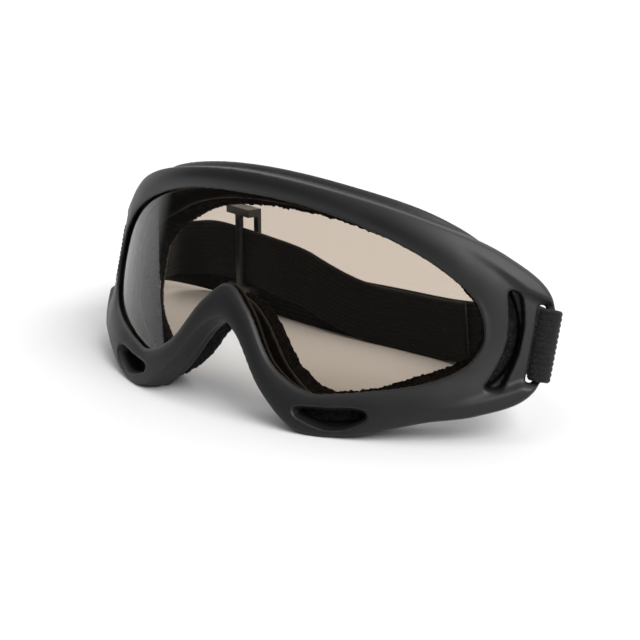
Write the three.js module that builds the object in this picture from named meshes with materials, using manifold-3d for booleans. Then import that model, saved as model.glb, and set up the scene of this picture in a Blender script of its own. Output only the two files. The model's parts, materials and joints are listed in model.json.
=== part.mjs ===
// Motorcycle goggles standing on their two cheek lobes, with the elastic strap lying behind them.
// Millimetres, +Z up. The mask faces -Y and is drawn with its mirror plane at X = 0 and the table at
// Z = 0; the last step moves the whole object so that its origin is its bottom centre.
// The mask is drawn flat in (u, v, w): u along the curved front, v up, w forward of the front surface.
// wrapPoint bends that flat drawing round an upright cylinder, and the mask group leans back.
import * as THREE from 'three';
import { mergeVertices } from 'three/addons/utils/BufferGeometryUtils.js';
import Module from 'manifold-3d';

const wasm = await Module();
wasm.setup();

// ---- driving dimensions ----
const FRONT_RADIUS = 114;        // bend of the front surface
const BEND_END = 84;             // u where the bend ends and the flat ear tips begin
const LEAN = THREE.MathUtils.degToRad(15.8);
const LIFT = 36.6;               // height of the front centre above the table
const GAP = 0.3;                 // clearance between pieces that touch
const STATIONS_PER_ROW = 4;
const PLATE = 4.5;               // thickness of the front plate and the ears
const WALL = 2.6;                // side wall of the mask
const LENS_FRONT = -1.4;
const LENS_THICK = 1.3;
const LENS_INSET = 2.0;          // how far the lens edge reaches into its groove
const LENS_PLAY = 0.5;           // clearance of the lens in its groove
const LIP = 1.2;                 // lip behind the lens
const PLATE_BACK = LENS_FRONT - LENS_THICK - LENS_PLAY - LIP;
const RIDGE_START = 0.4;         // share of the ridge's height where it leaves the plate
const RIDGE_WIDTH = 3;
const RIDGE_ROOM = 0.8;          // most of the wall that the ridge may take, as a share of the wall's depth
const RIDGE_RAMP = 0.23;         // length of each of its flanks, as a share of its width
const FLANGE = 1.3;              // thickness of the rear flange that carries the foam
const FOAM_DEPTH = 6;
const FOAM_TAPER = -0.12;        // slope of the foam's upper face behind the brow
const LINING_DEPTH = 0.8;

// Ventilation: slots in the top wall, given by centre u and wall height, and the foams behind the vents.
const TOP_VENTS = [[16, 33.2], [31.5, 31.8], [47, 29.6]];
const TOP_VENT_WIDTH = 11;
const TOP_VENT_BACK = -12.8;
const TOP_VENT_FRONT = -9.6;
const STRIP_FRONT = -8.6;
const STRIP_BACK = -12.9;
const STRIP_THICK = 2.4;
const PAD_FRONT = PLATE_BACK - 0.6;
const PAD_THICK = 1.4;
const PAD_PLAY = 0.7;
const CUT_BACK = -8;             // every cut through the plate runs from here
const CUT_FRONT = 6;             // to here

// Ears: a slot, and outside it the post that the strap loops round.
const SLOT_INNER = 92.0;
const SLOT_OUTER = 94.5;
const SLOT_TOP = 10.6;
const SLOT_BOTTOM = -11.0;
const SLOT_MIDDLE = (SLOT_TOP + SLOT_BOTTOM) / 2;
const POST_OUTER = 97.4;
const POST_FRONT = -2.0;         // the post stands back, so that the strap lies flush with the ear
const EAR_CLEAR = 106;           // beyond the plate's edge

// Strap.
const STRAP_WIDTH = 20;
const STRAP_THICK = 1.6;
const LEG_OFFSET = STRAP_THICK / 2 + GAP / 2;
const LEFT_SWING = THREE.MathUtils.degToRad(4);
const RIGHT_SWING = THREE.MathUtils.degToRad(55);
const HINGE_Y = 54;              // line through both strap ends, about which the strap lifts
const HINGE_Z = 21.1;
const HINGE_REACH = 10.9;        // radius of the rounded strap ends about that line
const STRAP_LOW = STRAP_WIDTH / 2 + 0.1;
const STRAP_ROUTE = [
  [70.6, HINGE_Y, HINGE_Z], [63.8, 62.3, 18.8], [50, 70.5, 14.5], [28, 76.5, 10.8], [4, 78, STRAP_LOW],
  [-22, 77.5, STRAP_LOW], [-46, 80, STRAP_LOW], [-64, 84, STRAP_LOW], [-82, 88, STRAP_LOW],
  [-97, 89, 11], [-105, 82, 13.8], [-102.5, 72, 16.8], [-94.5, 62.5, 19.4], [-87, HINGE_Y, HINGE_Z],
];
const END_LEAD = 0.05;           // how far the bands reach past the hinge line before their ends are rounded
const RETURN_OFFSET = 2.2;       // the return band lies this far inside the main band
const RETURN_SPACING = 5.6;      // and this far at the slider
const RETURN_RAISE = 10;         // how much higher than the main band the return band lies at the slider
const RETURN_END = 0.2;          // free end of the return band
const TACK_FROM = 4.1;           // bar tacks: distance behind the post's centre, length, thickness, width
const TACK_LENGTH = 1.4;
const TACK_THICK = 0.5;
const TACK_WIDTH = 13;
const SLIDER_AT = 0.65;          // place of the slider along the strap
const SLIDER_PLAY = 0.5;
const SLIDER_ROOM = 5;           // spare height in the slider's window above the band
const SLIDER_BAR = 2.8;
const SLIDER_HALF_LENGTH = 7;
const SLIDER_THICK = 1.5;

// Half of each outline, from the top centre over the ear and the cheek to the nose.
// a: lens opening, b: outer edge of the front plate, c: outer face of the side wall.
// depth: wall depth, rise: how steeply the wall climbs rearwards, foam: width of the foam pad,
// crown: how proud the front plate stands, fall: how far its outer edge falls back,
// ridge: height of the ridge on the wall behind the plate.
const ROWS = [
  { a: [0, 26.6], b: [0, 33.3], c: [0, 33.6],
    depth: 15.5, rise: 0, foam: 8, crown: 1.2, fall: 0, ridge: 1.9 },
  { a: [26.6, 25.2], b: [29.5, 31.7], c: [29.8, 32.0],
    depth: 15.5, rise: 0, foam: 8, crown: 1.2, fall: 0.4, ridge: 1.9 },
  { a: [51.3, 19.8], b: [58.9, 27.6], c: [58.9, 27.8],
    depth: 14.5, rise: 0, foam: 9.5, crown: 1.0, fall: 2.0, ridge: 1.8 },
  { a: [66.0, 13.9], b: [81.7, 21.9], c: [76.5, 21.6],
    depth: 10.5, rise: 0, foam: 11, crown: 0.9, fall: 3.2, ridge: 1.2 },
  { a: [75.3, 7.3], b: [94.9, 13.8], c: [87.5, 12.6],
    depth: 8.2, rise: 0, foam: 12, crown: 0.9, fall: 1.6, ridge: 0.4 },
  { a: [78.4, -1.9], b: [98.6, -1.0], c: [91.6, -1.5],
    depth: 8.2, rise: 0, foam: 12, crown: 0.8, fall: 0, ridge: 0 },
  { a: [75.0, -9.3], b: [93.5, -15.0], c: [87.0, -14.0],
    depth: 8.2, rise: 0.1, foam: 11, crown: 1.1, fall: 0, ridge: 0 },
  { a: [67.5, -14.8], b: [80.0, -22.6], c: [77.5, -21.8],
    depth: 8.2, rise: 0.25, foam: 9, crown: 1.4, fall: 0, ridge: 0 },
  { a: [58.5, -18.4], b: [67.5, -26.5], c: [67.0, -26.4],
    depth: 8.2, rise: 0.32, foam: 7.5, crown: 1.4, fall: 0, ridge: 0 },
  { a: [50.4, -20.9], b: [57.0, -30.6], c: [57.0, -30.5],
    depth: 8.6, rise: 0.32, foam: 7, crown: 1.4, fall: 0, ridge: 0 },
  { a: [42.0, -23.2], b: [47.0, -34.6], c: [47.0, -34.4],
    depth: 8.8, rise: 0.32, foam: 7, crown: 1.2, fall: 0, ridge: 0 },
  { a: [32.3, -24.7], b: [31.4, -36.4], c: [31.6, -36.2],
    depth: 8.8, rise: 0.32, foam: 7, crown: 1.2, fall: 0, ridge: 0 },
  { a: [20.4, -19.5], b: [18.3, -27.8], c: [18.3, -27.6],
    depth: 8.2, rise: 0.2, foam: 7, crown: 1.2, fall: 0, ridge: 0 },
  { a: [9.0, -5.7], b: [6.2, -13.5], c: [6.3, -13.2],
    depth: 7.4, rise: 0.05, foam: 7, crown: 1.2, fall: 0, ridge: 0 },
  { a: [0, 0.5], b: [0, -10.3], c: [0, -10.0],
    depth: 7.0, rise: 0, foam: 7.5, crown: 1.2, fall: 0, ridge: 0 },
];

// ---- colours ----
const material = (color, roughness) => new THREE.MeshStandardMaterial({ color, roughness, metalness: 0 });
const FRAME_MATERIAL = material(0x1c1d1e, 0.55);
const LENS_MATERIAL = new THREE.MeshStandardMaterial({
  color: 0x9b8877, roughness: 0.05, metalness: 0, transparent: true, opacity: 0.4,
});
const FOAM_MATERIAL = material(0x0d0d0d, 1);
const LINING_MATERIAL = material(0x15120f, 1);
const STRAP_MATERIAL = material(0x141414, 0.95);
const SLIDER_MATERIAL = material(0x18191a, 0.4);
const THREAD_MATERIAL = material(0x202020, 0.9);

const mask = new THREE.Group();
mask.rotation.x = -LEAN;
mask.position.z = LIFT;
const strap = new THREE.Group();
const goggles = new THREE.Group();
goggles.add(mask, strap);

function addMesh(parent, name, geometry, meshMaterial) {
  const mesh = new THREE.Mesh(geometry, meshMaterial);
  mesh.name = name;
  parent.add(mesh);
  return mesh;
}

// ---- geometry helpers ----
function wrapPoint(u, v, w) {
  const side = Math.sign(u) || 1;
  const bent = Math.min(Math.abs(u), BEND_END);
  const straight = Math.abs(u) - bent;
  const angle = bent / FRONT_RADIUS;
  const x = FRONT_RADIUS * Math.sin(angle) + straight * Math.cos(angle) + w * Math.sin(angle);
  const y = FRONT_RADIUS * (1 - Math.cos(angle)) + straight * Math.sin(angle) - w * Math.cos(angle);
  return new THREE.Vector3(side * x, y, v);
}

function signedVolume(points, triangles) {
  let total = 0;
  for (const [i, j, k] of triangles) {
    total += points[i].dot(new THREE.Vector3().crossVectors(points[j], points[k]));
  }
  return total / 6;
}

// Builds a closed body and turns it so that its faces point out.
function closedBody(points, triangles) {
  const outward = signedVolume(points, triangles) > 0;
  const indices = triangles.flatMap(([i, j, k]) => (outward ? [i, j, k] : [i, k, j]));
  const geometry = new THREE.BufferGeometry();
  geometry.setAttribute('position', new THREE.Float32BufferAttribute(points.flatMap((p) => p.toArray()), 3));
  geometry.setIndex(indices);
  return geometry;
}

// A row of cross-sections, each a closed loop of the same number of points, joined into one body.
function loft(sections, closedRing) {
  const size = sections[0].length;
  const points = sections.flat();
  const triangles = [];
  const spans = closedRing ? sections.length : sections.length - 1;
  for (let i = 0; i < spans; i += 1) {
    const here = i * size;
    const there = ((i + 1) % sections.length) * size;
    for (let j = 0; j < size; j += 1) {
      const k = (j + 1) % size;
      triangles.push([here + j, there + j, there + k], [here + j, there + k, here + k]);
    }
  }
  if (!closedRing) {
    const last = (sections.length - 1) * size;
    for (let j = 1; j < size - 1; j += 1) {
      triangles.push([0, j, j + 1], [last, last + j + 1, last + j]);
    }
  }
  return closedBody(points, triangles);
}

function toSolid(geometry) {
  const bare = geometry.clone();
  bare.deleteAttribute('normal');
  bare.deleteAttribute('uv');
  const merged = mergeVertices(bare, 1e-4);
  return new wasm.Manifold(new wasm.Mesh({
    numProp: 3,
    vertProperties: merged.attributes.position.array,
    triVerts: Uint32Array.from(merged.index.array),
  }));
}

function fromSolid(solid) {
  const mesh = solid.getMesh();
  const geometry = new THREE.BufferGeometry();
  geometry.setAttribute('position', new THREE.BufferAttribute(new Float32Array(mesh.vertProperties), 3));
  geometry.setIndex(new THREE.BufferAttribute(new Uint32Array(mesh.triVerts), 1));
  return geometry;
}

// A flat outline given in (u, v), pushed from w = back to w = front and bent with the front surface.
function wrappedPrism(outline, back, front) {
  const shape = new THREE.Shape(outline.map(([u, v]) => new THREE.Vector2(u, v)));
  const geometry = new THREE.ExtrudeGeometry(shape, { depth: front - back, bevelEnabled: false });
  const position = geometry.attributes.position;
  for (let i = 0; i < position.count; i += 1) {
    const bent = wrapPoint(position.getX(i), position.getY(i), position.getZ(i) + back);
    position.setXYZ(i, bent.x, bent.y, bent.z);
  }
  return geometry;
}

const mirrored = (outline) => outline.map(([u, v]) => [-u, v]).reverse();

// ---- outlines round the mask ----
const ringRows = [...ROWS, ...ROWS.slice(1, -1).reverse().map((row) => ({
  ...row, a: [-row.a[0], row.a[1]], b: [-row.b[0], row.b[1]], c: [-row.c[0], row.c[1]],
}))];
const ringCurve = (place) => new THREE.CatmullRomCurve3(
  ringRows.map((row) => new THREE.Vector3(...place(row))), true, 'centripetal');
const openingCurve = ringCurve((row) => [...row.a, row.crown]);
const plateCurve = ringCurve((row) => [...row.b, row.fall]);
const wallCurve = ringCurve((row) => [...row.c, row.depth]);
const rearHeight = (row) => row.c[1] + row.rise * row.depth;
const rearCurve = ringCurve((row) => [row.c[0], rearHeight(row), row.foam]);
const padCurve = ringCurve((row) => [
  row.c[0], rearHeight(row) + (row.c[1] > 0 ? FOAM_TAPER : row.rise) * FOAM_DEPTH, row.ridge]);

// A point of a curve at ring position t, with the outward direction across the curve.
function edge(curve, t) {
  const turn = ((t / ringRows.length) % 1 + 1) % 1;
  const point = curve.getPoint(turn);
  const tangent = curve.getTangent(turn);
  const across = new THREE.Vector2(-tangent.y, tangent.x).normalize();
  return { u: point.x, v: point.y, value: point.z, across };
}

const shifted = (place, out) => [place.u + place.across.x * out, place.v + place.across.y * out];
const mixed = (from, to, share) => [
  from.u + (to.u - from.u) * share,
  from.v + (to.v - from.v) * share,
];

function station(t) {
  return {
    opening: edge(openingCurve, t),
    plate: edge(plateCurve, t),
    wall: edge(wallCurve, t),
    rear: edge(rearCurve, t),
    pad: edge(padCurve, t),
  };
}

function ringBody(section, from = 0, to = ringRows.length) {
  const closedRing = to - from === ringRows.length;
  const count = Math.round((to - from) * STATIONS_PER_ROW);
  const sections = [];
  for (let i = 0; i < (closedRing ? count : count + 1); i += 1) {
    const flat = section(station(from + ((to - from) * i) / count));
    sections.push(flat.map(([[u, v], w]) => wrapPoint(u, v, w)));
  }
  return loft(sections, closedRing);
}

// ---- frame ----
function frameSection({ opening, plate, wall, rear, pad }) {
  const crown = opening.value;
  const fall = plate.value;
  const ridge = pad.value;
  const wallFront = -PLATE - fall;
  const back = -wall.value;
  const span = Math.min(RIDGE_WIDTH, RIDGE_ROOM * (wallFront - back));
  const ramp = span * RIDGE_RAMP;
  const width = rear.value;
  const groove = LENS_INSET + LENS_PLAY;
  const grooveFront = LENS_FRONT + LENS_PLAY;
  const grooveBack = LENS_FRONT - LENS_THICK - LENS_PLAY;
  return [
    [shifted(opening, 0), -0.2],
    [mixed(opening, plate, 0.15), 0.35 * crown],
    [mixed(opening, plate, 0.45), crown - 0.2 * fall],
    [mixed(opening, plate, 0.75), crown - 0.56 * fall],
    [mixed(opening, plate, 0.95), 0.3 * crown - 0.9 * fall],
    [shifted(plate, 0), -1.2 - fall],
    [shifted(plate, 0.2), wallFront],
    [shifted(wall, ridge * RIDGE_START), wallFront],
    [shifted(wall, ridge), wallFront - ramp],
    [shifted(wall, ridge), wallFront - span + ramp],
    [shifted(wall, 0), wallFront - span],
    [shifted(rear, 0), back],
    [shifted(rear, -width), back],
    [shifted(rear, -width), back + FLANGE],
    [shifted(rear, -WALL), back + FLANGE],
    [shifted(wall, -WALL), PLATE_BACK],
    [shifted(opening, 0.5), PLATE_BACK],
    [shifted(opening, 0.5), grooveBack],
    [shifted(opening, groove), grooveBack],
    [shifted(opening, groove), grooveFront],
    [shifted(opening, 0), grooveFront],
  ];
}

const EAR_VENT = [
  [83.2, 12.9], [86.3, 12.8], [88.2, 8.5], [89.0, 2.9], [88.7, -4.2], [87.4, -9.5], [85.6, -13.8],
  [81.4, -14.2], [82.2, -12.2], [83.8, -7.4], [84.9, -2.1], [84.7, 3.8], [83.8, 8.2],
];
const LOWER_VENT = [
  [30.4, -30.6], [35.0, -32.3], [41.1, -32.9], [46.6, -31.0], [50.1, -27.9], [47.2, -27.5], [40.4, -28.7],
];

function frameCutters() {
  const slotHeight = (from, to) => [[from, SLOT_BOTTOM], [to, SLOT_BOTTOM], [to, SLOT_TOP], [from, SLOT_TOP]];
  const slot = slotHeight(SLOT_INNER, SLOT_OUTER);
  // The post stands back from the plate's edge, so that the strap lies flush with the ear.
  const notch = slotHeight(POST_OUTER, EAR_CLEAR);
  const face = slotHeight(SLOT_INNER, EAR_CLEAR);
  const cutters = [
    [EAR_VENT, PAD_FRONT, CUT_FRONT],
    [LOWER_VENT, PAD_FRONT, CUT_FRONT],
    [slot, CUT_BACK, CUT_FRONT],
    [notch, CUT_BACK, CUT_FRONT],
    [face, POST_FRONT, CUT_FRONT],
    [face, CUT_BACK, -PLATE],
  ];
  for (const [centre, height] of TOP_VENTS) {
    const half = TOP_VENT_WIDTH / 2;
    const box = [
      [centre - half, height - 6], [centre + half, height - 6],
      [centre + half, height + 3], [centre - half, height + 3],
    ];
    cutters.push([box, TOP_VENT_BACK, TOP_VENT_FRONT]);
  }
  return cutters.flatMap(([outline, back, front]) => [
    wrappedPrism(outline, back, front),
    wrappedPrism(mirrored(outline), back, front),
  ]);
}

// Two small flats under the cheek lobes, level with the table.
function tableCutter() {
  const slab = new THREE.BoxGeometry(300, 300, 20);
  slab.applyMatrix4(new THREE.Matrix4().makeTranslation(0, 0, -10 - LIFT));
  slab.applyMatrix4(new THREE.Matrix4().makeRotationX(LEAN));
  return slab;
}

let frameSolid = toSolid(ringBody(frameSection));
for (const cutter of [...frameCutters(), tableCutter()]) {
  frameSolid = frameSolid.subtract(toSolid(cutter));
}
addMesh(mask, 'frame', fromSolid(frameSolid), FRAME_MATERIAL);

// ---- lens: a bent sheet whose edge sits in the groove ----
function lensBody() {
  const columns = 44;
  const rows = 4;
  const outline = [];
  const count = ringRows.length * STATIONS_PER_ROW;
  for (let i = 0; i < count; i += 1) {
    outline.push(shifted(edge(openingCurve, (ringRows.length * i) / count), LENS_INSET));
  }
  const reach = Math.max(...outline.map(([u]) => u)) - 0.25;
  const spanAt = (u) => {
    const heights = [];
    outline.forEach(([u0, v0], i) => {
      const [u1, v1] = outline[(i + 1) % count];
      if ((u0 - u) * (u1 - u) < 0) heights.push(v0 + ((v1 - v0) * (u - u0)) / (u1 - u0));
    });
    return [Math.min(...heights), Math.max(...heights)];
  };
  const sections = [];
  for (let i = 0; i <= columns; i += 1) {
    const share = (2 * i) / columns - 1;
    const u = reach * Math.sin((share * Math.PI) / 2) + 1e-4;
    const [low, high] = spanAt(u);
    const loop = [];
    for (let j = 0; j <= rows; j += 1) loop.push(wrapPoint(u, low + ((high - low) * j) / rows, LENS_FRONT));
    for (let j = rows; j >= 0; j -= 1) {
      loop.push(wrapPoint(u, low + ((high - low) * j) / rows, LENS_FRONT - LENS_THICK));
    }
    sections.push(loop);
  }
  return loft(sections, false);
}
addMesh(mask, 'lens', lensBody(), LENS_MATERIAL);

// ---- face foam and its fleece lining ----
function foamSection({ wall, rear, pad }) {
  const front = -wall.value - GAP;
  const back = front - FOAM_DEPTH;
  const width = rear.value;
  return [
    [shifted(rear, -0.6), front],
    [shifted(pad, -0.2), back + 2.5],
    [shifted(pad, -1.4), back],
    [shifted(pad, -width + 0.6), back],
    [shifted(pad, -width - 0.6), back + 2.5],
    [shifted(rear, -width + 0.4), front],
  ];
}

function liningSection({ wall, rear, pad }) {
  const front = -wall.value - 3 * GAP - FOAM_DEPTH;
  const width = rear.value;
  return [
    [shifted(pad, -1.6), front],
    [shifted(pad, -2.4), front - LINING_DEPTH],
    [shifted(pad, -width + 1.4), front - LINING_DEPTH],
    [shifted(pad, -width + 0.8), front],
  ];
}
addMesh(mask, 'face_foam', ringBody(foamSection), FOAM_MATERIAL);
addMesh(mask, 'face_foam_lining', ringBody(liningSection), LINING_MATERIAL);

// ---- vent foams inside the wall ----
// A point off the wall's inner face at depth w, out millimetres inside it.
function offWall({ wall, rear }, w, out) {
  const share = (PLATE_BACK - w) / (PLATE_BACK + wall.value - FLANGE);
  const front = shifted(wall, -WALL - out);
  const back = shifted(rear, -WALL - out);
  return [[front[0] + (back[0] - front[0]) * share, front[1] + (back[1] - front[1]) * share], w];
}

const platePad = (width) => (place) => [
  offWall(place, PAD_FRONT, PAD_PLAY),
  offWall(place, PAD_FRONT - PAD_THICK, PAD_PLAY),
  offWall(place, PAD_FRONT - PAD_THICK, width),
  offWall(place, PAD_FRONT, width),
];
const topStrip = (place) => [
  offWall(place, STRIP_FRONT, PAD_PLAY),
  offWall(place, STRIP_BACK, PAD_PLAY),
  offWall(place, STRIP_BACK, PAD_PLAY + STRIP_THICK),
  offWall(place, STRIP_FRONT, PAD_PLAY + STRIP_THICK),
];
const VENT_FOAMS = [
  ['vent_foam_top', topStrip, 0.25, 2.0],
  ['vent_foam_ear', platePad(6.5), 3.75, 6.25],
  ['vent_foam_lower', platePad(5.5), 9.25, 11.5],
];
for (const [name, section, from, to] of VENT_FOAMS) {
  const turn = ringRows.length;
  addMesh(mask, `${name}_left`, ringBody(section, from, to), FOAM_MATERIAL);
  addMesh(mask, `${name}_right`, ringBody(section, turn - to, turn - from), FOAM_MATERIAL);
}

// A point of the mask in the row frame, leaned back and lifted.
function toRow(point) {
  return point.clone().applyAxisAngle(new THREE.Vector3(1, 0, 0), -LEAN).add(new THREE.Vector3(0, 0, LIFT));
}

// ---- strap loops round the ear posts ----
const LOOP_INNER = SLOT_OUTER - GAP;
const LOOP_OUTER = POST_OUTER + GAP;
const LOOP_FRONT = POST_FRONT + GAP;
const LOOP_BACK = -PLATE - GAP;
const POST_CENTRE = [(LOOP_INNER + LOOP_OUTER) / 2, (LOOP_FRONT + LOOP_BACK) / 2];

// The loop's outline in (u, w): a band round the post whose two legs meet behind it, swung by
// swing about the post, seen along the post.
function loopBody(swing) {
  const halfU = (LOOP_OUTER - LOOP_INNER) / 2;
  const halfW = (LOOP_FRONT - LOOP_BACK) / 2;
  const corner = 0.7;
  const [centreU, centreW] = POST_CENTRE;
  const ring = (grow) => {
    const points = [];
    const radius = corner + grow;
    for (const [signU, signW, start] of [[1, 1, 0], [-1, 1, 90], [-1, -1, 180], [1, -1, 270]]) {
      for (let i = 0; i <= 3; i += 1) {
        const angle = THREE.MathUtils.degToRad(start + i * 30);
        points.push(new THREE.Vector2(
          centreU + signU * (halfU - corner) + radius * Math.cos(angle),
          centreW + signW * (halfW - corner) + radius * Math.sin(angle)));
      }
    }
    return points;
  };
  const extrude = (shape) => {
    const body = new THREE.ExtrudeGeometry(shape, { depth: STRAP_WIDTH, bevelEnabled: false });
    const position = body.attributes.position;
    for (let i = 0; i < position.count; i += 1) {
      const v = position.getZ(i) + SLOT_MIDDLE - STRAP_WIDTH / 2;
      const bent = wrapPoint(position.getX(i), v, position.getY(i));
      position.setXYZ(i, bent.x, bent.y, bent.z);
    }
    return toSolid(closedSoup(body));
  };
  const band = new THREE.Shape(ring(STRAP_THICK));
  band.holes.push(new THREE.Path(ring(0)));
  const heading = new THREE.Vector2(Math.sin(swing), -Math.cos(swing));
  const side = new THREE.Vector2(heading.y, -heading.x);
  const start = new THREE.Vector2(centreU, centreW).addScaledVector(heading, halfW + STRAP_THICK * 0.6);
  const hingeDepth = (place) => toRow(wrapPoint(place.x, SLOT_MIDDLE, place.y)).y;
  const perMillimetre = hingeDepth(start.clone().add(heading)) - hingeDepth(start);
  const reach = (HINGE_Y - hingeDepth(start)) / perMillimetre;
  const tail = new THREE.Shape([
    start.clone().addScaledVector(side, LEG_OFFSET + STRAP_THICK / 2),
    start.clone().addScaledVector(heading, reach).addScaledVector(side, LEG_OFFSET + STRAP_THICK / 2),
    start.clone().addScaledVector(heading, reach).addScaledVector(side, -LEG_OFFSET - STRAP_THICK / 2),
    start.clone().addScaledVector(side, -LEG_OFFSET - STRAP_THICK / 2),
  ]);
  return extrude(band).add(extrude(tail));
}

// Turns an extrusion's separate triangles into one closed body with its faces out.
function closedSoup(geometry) {
  const bare = geometry.clone();
  bare.deleteAttribute('normal');
  bare.deleteAttribute('uv');
  const merged = mergeVertices(bare, 1e-4);
  const points = [];
  for (let i = 0; i < merged.attributes.position.count; i += 1) {
    points.push(new THREE.Vector3().fromBufferAttribute(merged.attributes.position, i));
  }
  const triangles = [];
  for (let i = 0; i < merged.index.count; i += 3) {
    triangles.push([merged.index.getX(i), merged.index.getX(i + 1), merged.index.getX(i + 2)]);
  }
  return closedBody(points, triangles);
}

function hingeDrum(radius, inMask) {
  const drum = new THREE.CylinderGeometry(radius, radius, 260, 40);
  drum.rotateZ(Math.PI / 2);
  drum.translate(0, HINGE_Y, HINGE_Z);
  if (inMask) {
    drum.translate(0, 0, -LIFT);
    drum.rotateX(LEAN);
  }
  return toSolid(drum);
}

function mirrorX(geometry) {
  const flipped = geometry.clone();
  flipped.scale(-1, 1, 1);
  return closedSoup(flipped);
}

const loopDrum = hingeDrum(HINGE_REACH, true);
addMesh(mask, 'ear_loop_left', fromSolid(loopBody(LEFT_SWING).subtract(loopDrum)), STRAP_MATERIAL);
addMesh(mask, 'ear_loop_right', mirrorX(fromSolid(loopBody(RIGHT_SWING).subtract(loopDrum))), STRAP_MATERIAL);

// ---- bar tacks that close the loops behind the posts ----
function barTack(swing) {
  const heading = new THREE.Vector2(Math.sin(swing), -Math.cos(swing));
  const side = new THREE.Vector2(heading.y, -heading.x);
  const near = new THREE.Vector2(...POST_CENTRE)
    .addScaledVector(heading, TACK_FROM)
    .addScaledVector(side, -LEG_OFFSET - STRAP_THICK / 2 - GAP);
  const flat = [[0, 0], [TACK_LENGTH, 0], [TACK_LENGTH, TACK_THICK], [0, TACK_THICK]];
  const corners = flat.map(([along, out]) => (
    near.clone().addScaledVector(heading, along).addScaledVector(side, -out)));
  const shape = new THREE.Shape(corners);
  const body = new THREE.ExtrudeGeometry(shape, { depth: TACK_WIDTH, bevelEnabled: false });
  const position = body.attributes.position;
  for (let i = 0; i < position.count; i += 1) {
    const v = position.getZ(i) + SLOT_MIDDLE - TACK_WIDTH / 2;
    const bent = wrapPoint(position.getX(i), v, position.getY(i));
    position.setXYZ(i, bent.x, bent.y, bent.z);
  }
  return closedSoup(body);
}
addMesh(mask, 'bar_tack_left', barTack(LEFT_SWING), THREAD_MATERIAL);
addMesh(mask, 'bar_tack_right', mirrorX(barTack(RIGHT_SWING)), THREAD_MATERIAL);

// ---- strap: a flat band on its edge behind the mask, from the left ear round to the right ear ----
const strapCurve = new THREE.CatmullRomCurve3(
  STRAP_ROUTE.map((point) => new THREE.Vector3(...point)), false, 'centripetal');

const smooth = (from, to, value) => THREE.MathUtils.smoothstep(value, from, to);

function strapFrame(share) {
  const at = Math.min(Math.max(share, 0), 1);
  const tangent = strapCurve.getTangentAt(at);
  const point = strapCurve.getPointAt(at).addScaledVector(tangent, (share - at) * strapCurve.getLength());
  const lean = LEAN * smooth(STRAP_LOW, HINGE_Z, point.z);
  const up = new THREE.Vector3(0, Math.sin(lean), Math.cos(lean));
  up.addScaledVector(tangent, -up.dot(tangent)).normalize();
  return { point, tangent, up, inward: new THREE.Vector3().crossVectors(up, tangent) };
}

// How far the main band and the return band stand inwards, and how high, along the strap.
const mainPlace = (share) => ({ inward: -LEG_OFFSET * smooth(0.9, 0.98, share), raise: 0 });
const returnPlace = (share) => ({
  inward: RETURN_OFFSET
    + (RETURN_SPACING - RETURN_OFFSET) * smooth(0.5, 0.59, share) * (1 - smooth(0.71, 0.85, share))
    - (RETURN_OFFSET - LEG_OFFSET) * smooth(0.9, 0.98, share),
  raise: RETURN_RAISE * smooth(0.36, 0.6, share) * (1 - smooth(0.7, 0.93, share)),
});

function bandBody(place, from, to, steps) {
  const sections = [];
  for (let i = 0; i <= steps; i += 1) {
    const share = from + ((to - from) * i) / steps;
    const { point, up, inward } = strapFrame(share);
    const shift = place(share);
    const centre = point.clone().addScaledVector(inward, shift.inward);
    centre.z += shift.raise;
    sections.push([[-1, -1], [1, -1], [1, 1], [-1, 1]].map(([across, high]) => centre.clone()
      .addScaledVector(inward, (across * STRAP_THICK) / 2)
      .addScaledVector(up, (high * STRAP_WIDTH) / 2)));
  }
  return loft(sections, false);
}

// Keeps a band end behind the hinge line, apart from a rounded end about that line.
function roundedAtHinge(geometry) {
  const behind = new THREE.BoxGeometry(400, 200, 200);
  behind.translate(0, HINGE_Y + 100, HINGE_Z);
  return fromSolid(toSolid(geometry).intersect(toSolid(behind).add(hingeDrum(HINGE_REACH - 0.6, false))));
}

const cut = GAP / 2 / strapCurve.getLength();
const REAR_FROM = 0.3;           // where the main band is split, along the strap
const REAR_TO = 0.7;
const RETURN_SPLIT = 0.74;
const bands = [
  ['strap_left', roundedAtHinge(bandBody(mainPlace, -END_LEAD, REAR_FROM - cut, 18))],
  ['strap_rear', bandBody(mainPlace, REAR_FROM + cut, REAR_TO - cut, 18)],
  ['strap_right', roundedAtHinge(bandBody(mainPlace, REAR_TO + cut, 1 + END_LEAD, 22))],
  ['strap_return_rear', bandBody(returnPlace, RETURN_END, RETURN_SPLIT - cut, 30)],
  ['strap_return_side', roundedAtHinge(bandBody(returnPlace, RETURN_SPLIT + cut, 1 + END_LEAD, 22))],
];
for (const [name, body] of bands) addMesh(strap, name, body, STRAP_MATERIAL);

// ---- slider: a ladder of bars round the return band, its middle bar on the other side ----
function sliderBody() {
  const below = -STRAP_WIDTH / 2 - SLIDER_PLAY;
  const above = STRAP_WIDTH / 2 + SLIDER_ROOM;
  const low = below - SLIDER_BAR;
  const high = above + SLIDER_BAR;
  const back = -STRAP_THICK / 2 - SLIDER_PLAY - SLIDER_THICK;
  const front = STRAP_THICK / 2 + SLIDER_PLAY + SLIDER_THICK;
  const bar = (x0, x1, y0, y1, z0, z1) => {
    const box = new THREE.BoxGeometry(x1 - x0, y1 - y0, z1 - z0);
    box.translate((x0 + x1) / 2, (y0 + y1) / 2, (z0 + z1) / 2);
    return toSolid(box);
  };
  const end = SLIDER_HALF_LENGTH;
  const leg = end - SLIDER_BAR;
  return fromSolid([
    bar(-end, end, back, front, low, below),
    bar(leg, end, back, back + SLIDER_THICK, low, high),
    bar(-end, -leg, back, back + SLIDER_THICK, low, high),
    bar(-SLIDER_BAR / 2, SLIDER_BAR / 2, front - SLIDER_THICK, front, low, high),
  ].reduce((solid, next) => solid.add(next), bar(-end, end, back, front, above, high)));
}

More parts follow.
